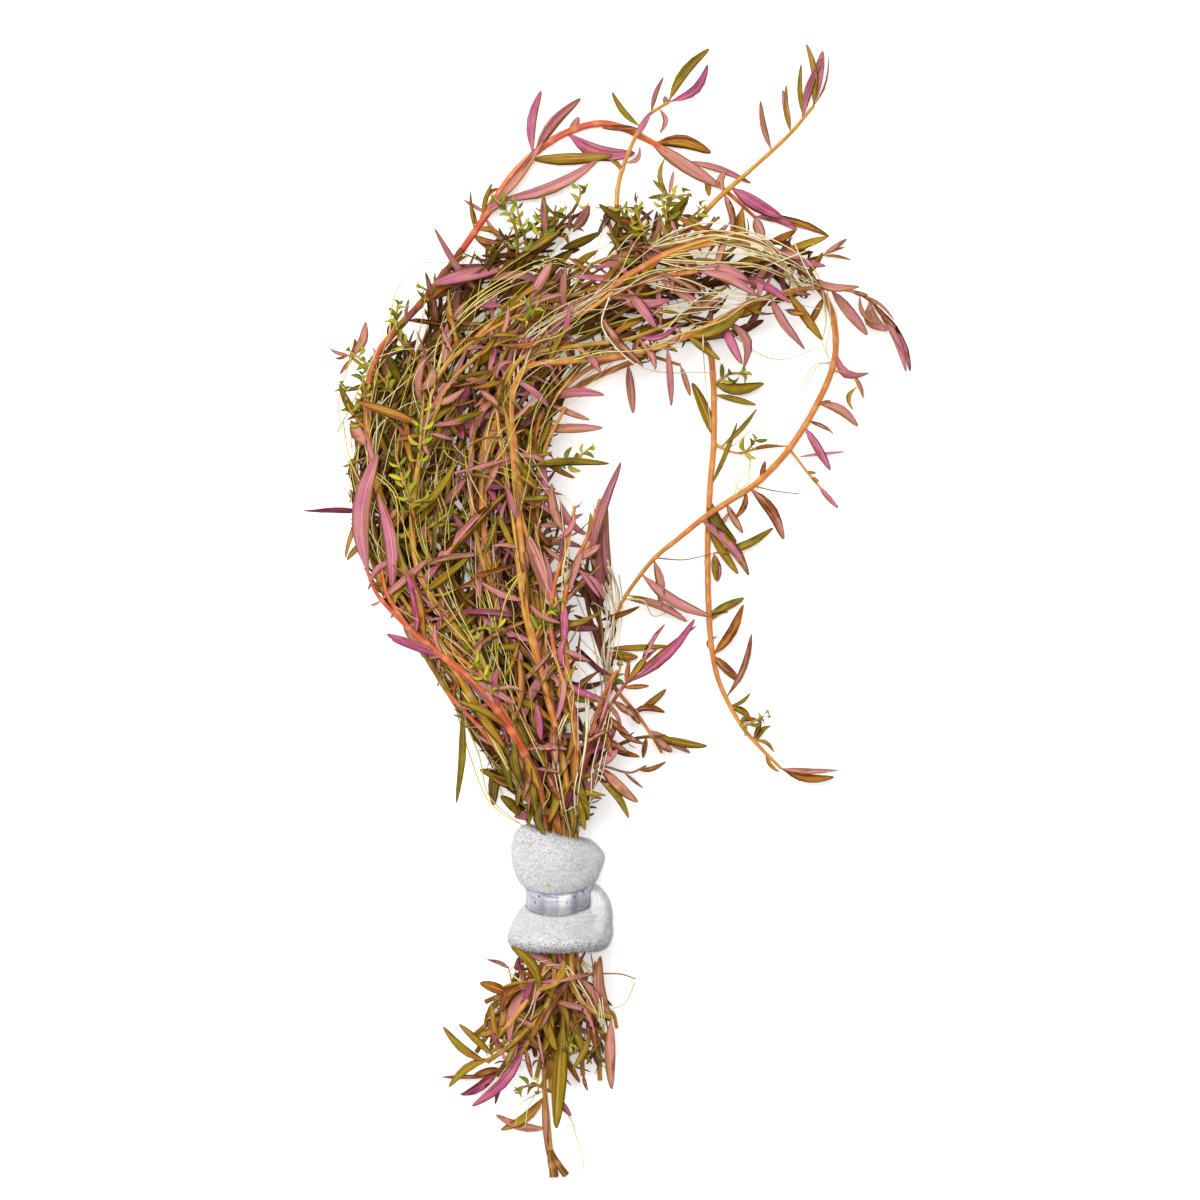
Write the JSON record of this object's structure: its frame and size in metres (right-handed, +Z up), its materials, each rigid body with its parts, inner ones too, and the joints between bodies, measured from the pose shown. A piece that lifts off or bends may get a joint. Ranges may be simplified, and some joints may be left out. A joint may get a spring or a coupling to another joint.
{
  "type": "bunch of rotala stems",
  "caption": "Bunch of rotala, a stem plant for aquariums, laid flat and tied through a white foam pad by a bent metal strip.",
  "frame": {"origin": "on the table under the foam pad's upper lobe, at the flat on which the pad rests", "axes": "+Y from the tie towards the growing tips, +X to the right seen from above, +Z up off the table"},
  "size_m": [0.1413, 0.2579, 0.0219],
  "materials": {
    "foam": "open-cell sponge",
    "strip_metal": "brushed, pitted",
    "plant_brown": "living leaf and stem, satin",
    "plant_magenta": "living leaf and stem, satin",
    "plant_olive": "living leaf and stem, satin",
    "plant_orange": "living leaf and stem, satin",
    "plant_pink": "living leaf and stem, satin",
    "plant_red": "living leaf and stem, satin",
    "plant_tan": "living leaf and stem, satin"
  },
  "bodies": {
    "root": {"foam_pad": "foam", "metal_strip": "strip_metal", "stem_left_red": "plant_red", "stem_tan": "plant_tan", "stem_right_tip": "plant_orange", "stem_pale": "plant_pink", "stem_top_loop": "plant_red", "stem_sprouting_right": "plant_olive", "stem_inner_arch": "plant_orange", "stem_bay_tip": "plant_tan", "stem_magenta_shoot": "plant_magenta", "stem_sprouting_left": "plant_olive", "stem_top_right": "plant_tan", "stem_right_arc": "plant_orange", "stem_lower_arch": "plant_orange", "stem_left_edge": "plant_olive", "stem_green_top": "plant_olive", "stem_top_tip": "plant_tan", "stem_under_arch": "plant_brown", "stem_dark_right": "plant_brown", "stem_left_under": "plant_olive", "stem_right_under": "plant_brown", "stem_hanging": "plant_orange", "stem_right_edge": "plant_pink"}
  },
  "joints": []
}
